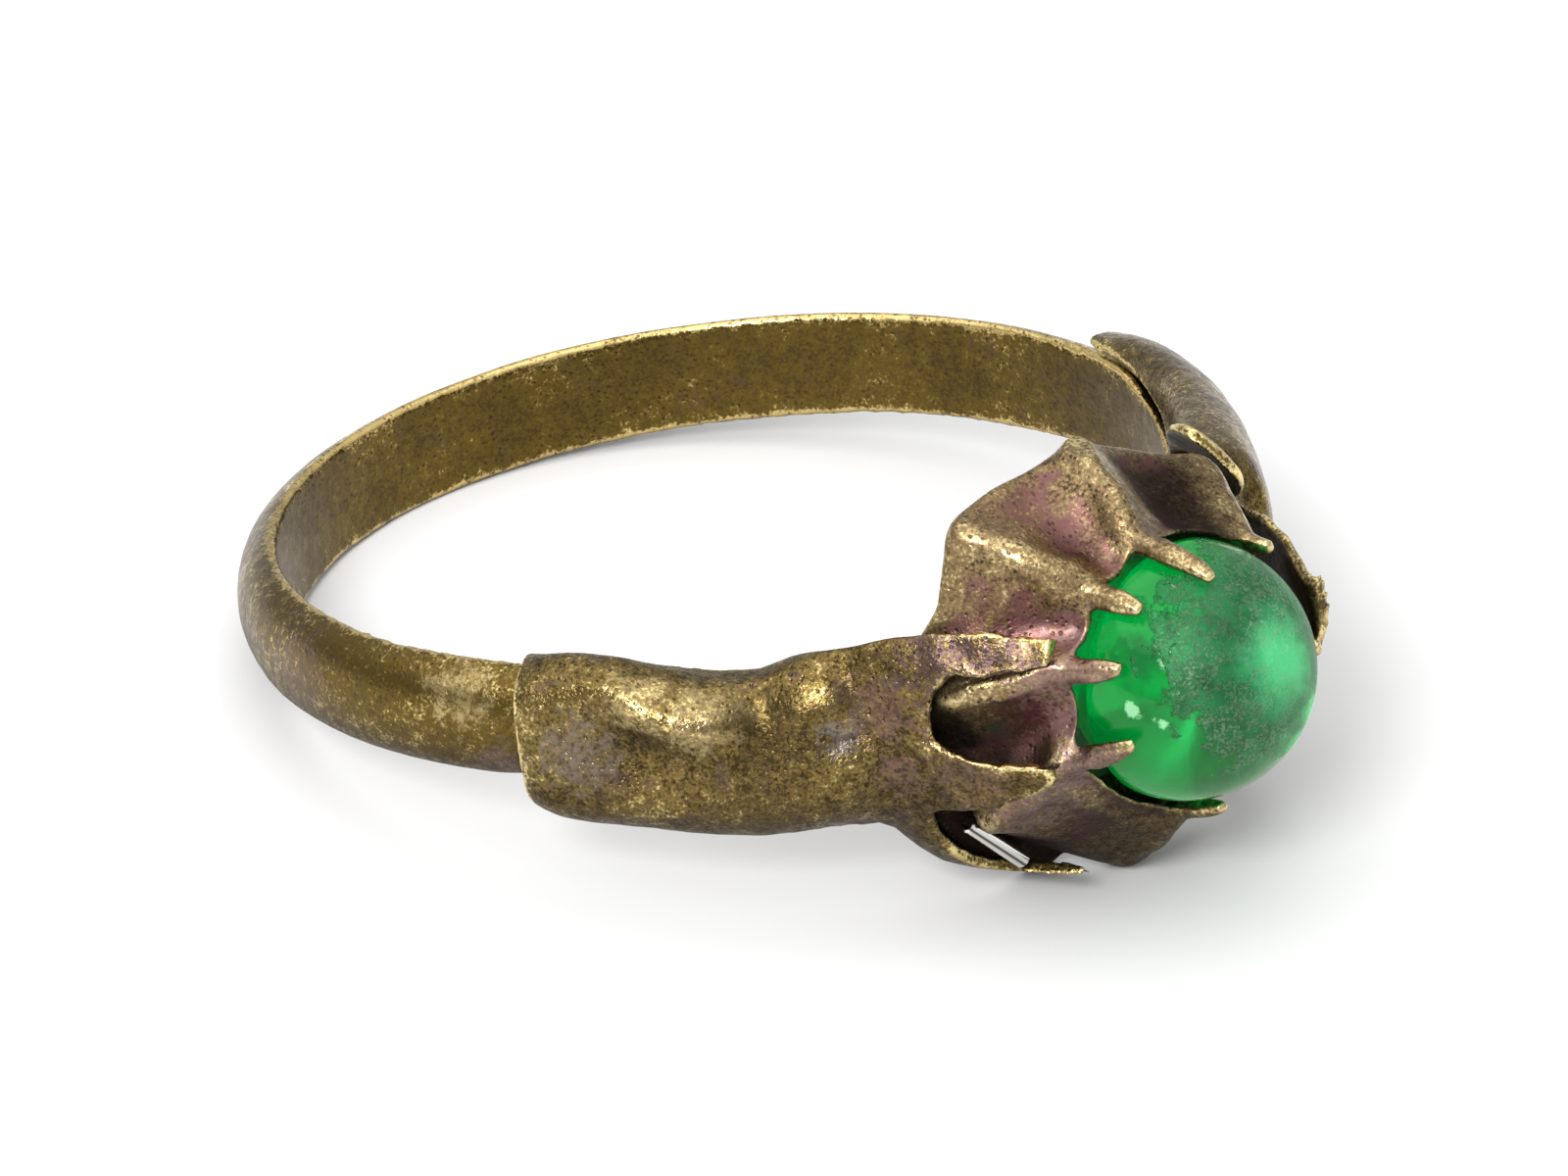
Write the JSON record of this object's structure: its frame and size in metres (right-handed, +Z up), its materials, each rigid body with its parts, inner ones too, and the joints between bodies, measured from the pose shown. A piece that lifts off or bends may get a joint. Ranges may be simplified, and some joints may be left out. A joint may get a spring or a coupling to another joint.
{
  "type": "glass gem ring",
  "caption": "Worn brass finger ring: a green glass cabochon held by claws in a fluted cup, between hollow shoulders of thin torn sheet.",
  "frame": {"origin": "centre of the finger hole", "axes": "+Z up as the ring lies on a table, -Y towards the stone, +X towards the shoulder with the long tongue; the finger axis leans from +Z towards +Y by the resting tilt"},
  "size_m": [0.0201, 0.025, 0.0089],
  "materials": {
    "hoop_brass": "aged, worn bright on the edges",
    "cup_brass": "aged, purple-brown tarnish in the flutes",
    "sheet_brass": "aged and finely pitted",
    "green_glass": "polished, scratched at the crown",
    "bright_steel": "polished"
  },
  "bodies": {
    "root": {"band": "hoop_brass", "setting": "cup_brass", "shoulder_left": "sheet_brass", "shoulder_right": "sheet_brass", "stone": "green_glass", "steel_pin": "bright_steel"}
  },
  "joints": []
}
